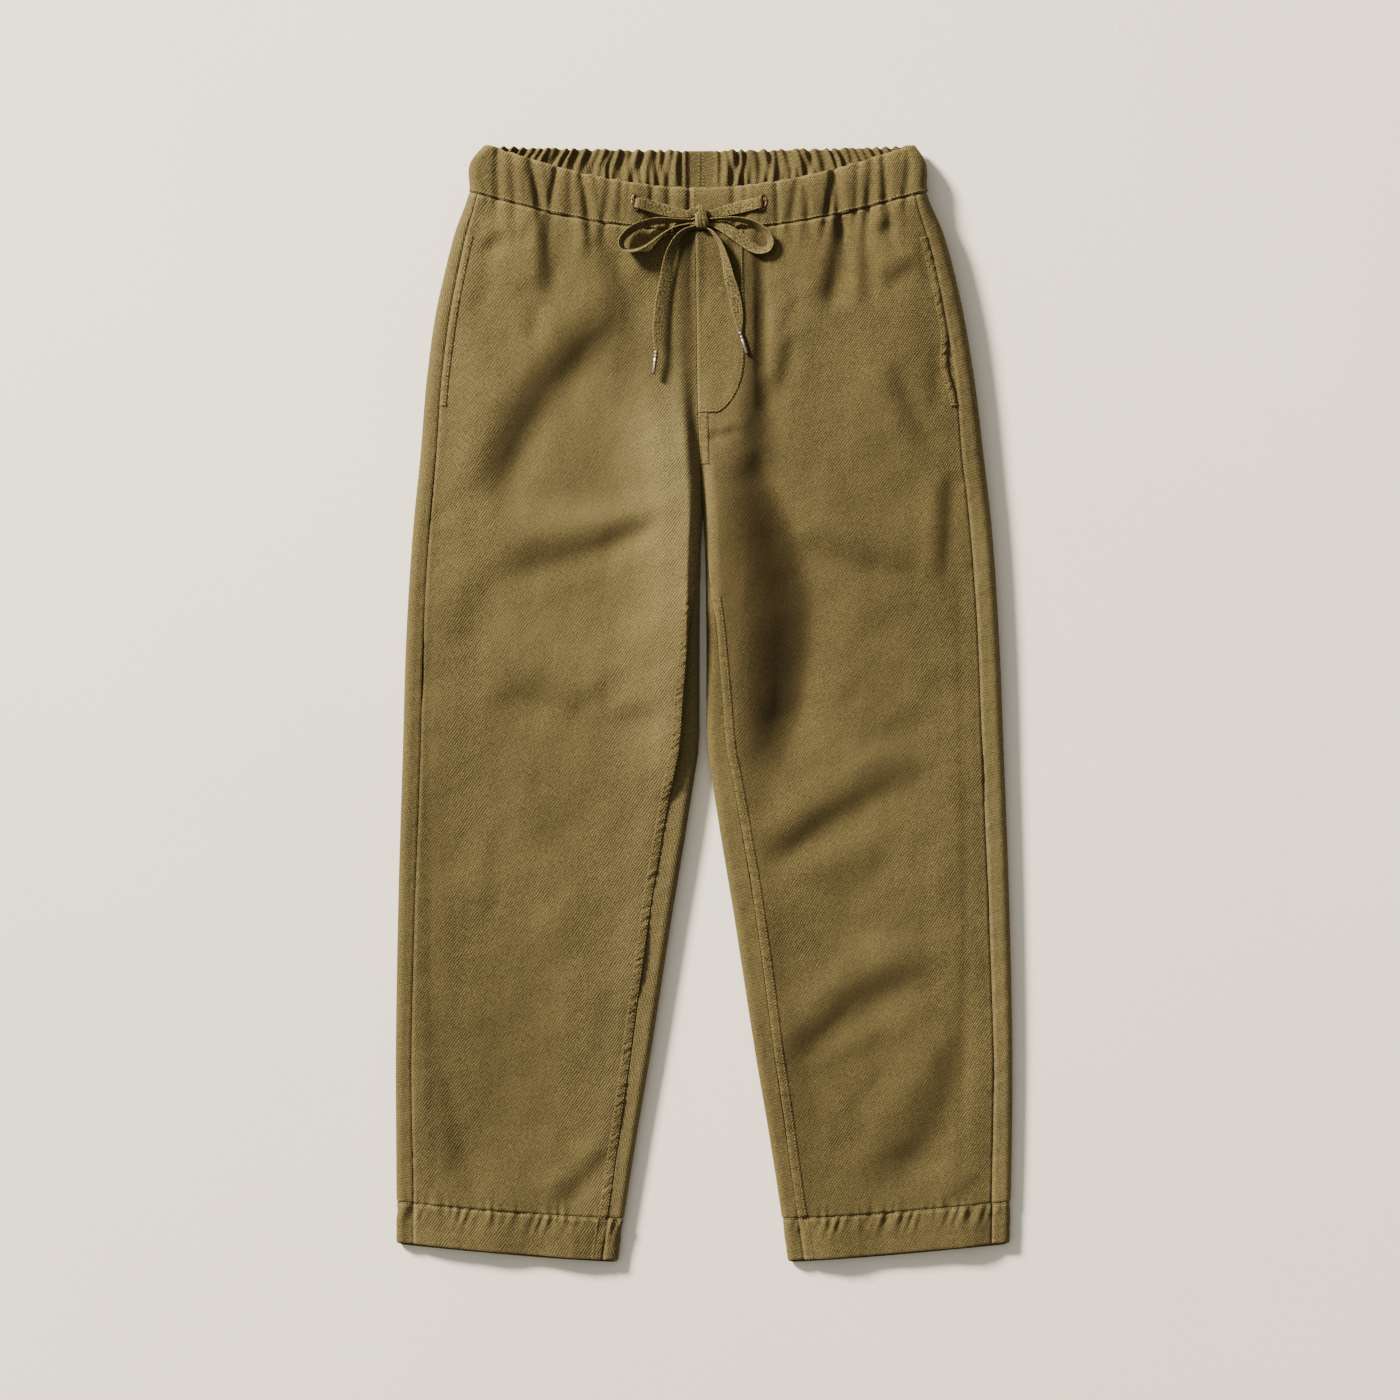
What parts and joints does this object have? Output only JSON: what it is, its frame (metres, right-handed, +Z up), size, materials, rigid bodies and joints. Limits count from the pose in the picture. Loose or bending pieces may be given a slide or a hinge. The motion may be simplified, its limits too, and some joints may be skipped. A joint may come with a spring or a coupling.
{
  "type": "drawstring trousers",
  "caption": "Drawstring trousers laid flat: wide tapered legs, gathered elastic waistband, sewn fly, slant pockets, turned hems and a flat tape tied in a bow.",
  "frame": {"origin": "middle of the garment's footprint, on the surface that it lies on", "axes": "+Y from the hems to the waist, along the garment; +Z up from the surface, out of the front; -X is the wearer's right side"},
  "size_m": [0.5438, 0.9843, 0.0416],
  "materials": {
    "olive_twill": "soft brown-olive cotton twill with a fine diagonal rib",
    "woven_tape": "flat woven cotton tape, a little lighter and yellower than the cloth",
    "dull_metal": "dull antique metal, lightly worn"
  },
  "bodies": {
    "root": {"front_right": "olive_twill", "front_left": "olive_twill", "back_right": "olive_twill", "back_left": "olive_twill", "hem_right": "olive_twill", "hem_left": "olive_twill", "waistband_right": "olive_twill", "waistband_left": "olive_twill", "pocket_edge_right": "olive_twill", "pocket_edge_left": "olive_twill", "pocket_facing_left": "olive_twill", "inseam_fell_right": "olive_twill", "inseam_fell_left": "olive_twill", "crotch_fell": "olive_twill", "fly_flap": "olive_twill", "eyelet_right": "dull_metal", "eyelet_left": "dull_metal", "aglet_right": "dull_metal", "aglet_left": "dull_metal", "knot": "woven_tape", "cord_lead_right": "woven_tape", "cord_lead_left": "woven_tape", "cord_loop_right": "woven_tape", "cord_loop_left": "woven_tape", "cord_tail_right": "woven_tape", "cord_tail_left": "woven_tape"}
  },
  "joints": []
}
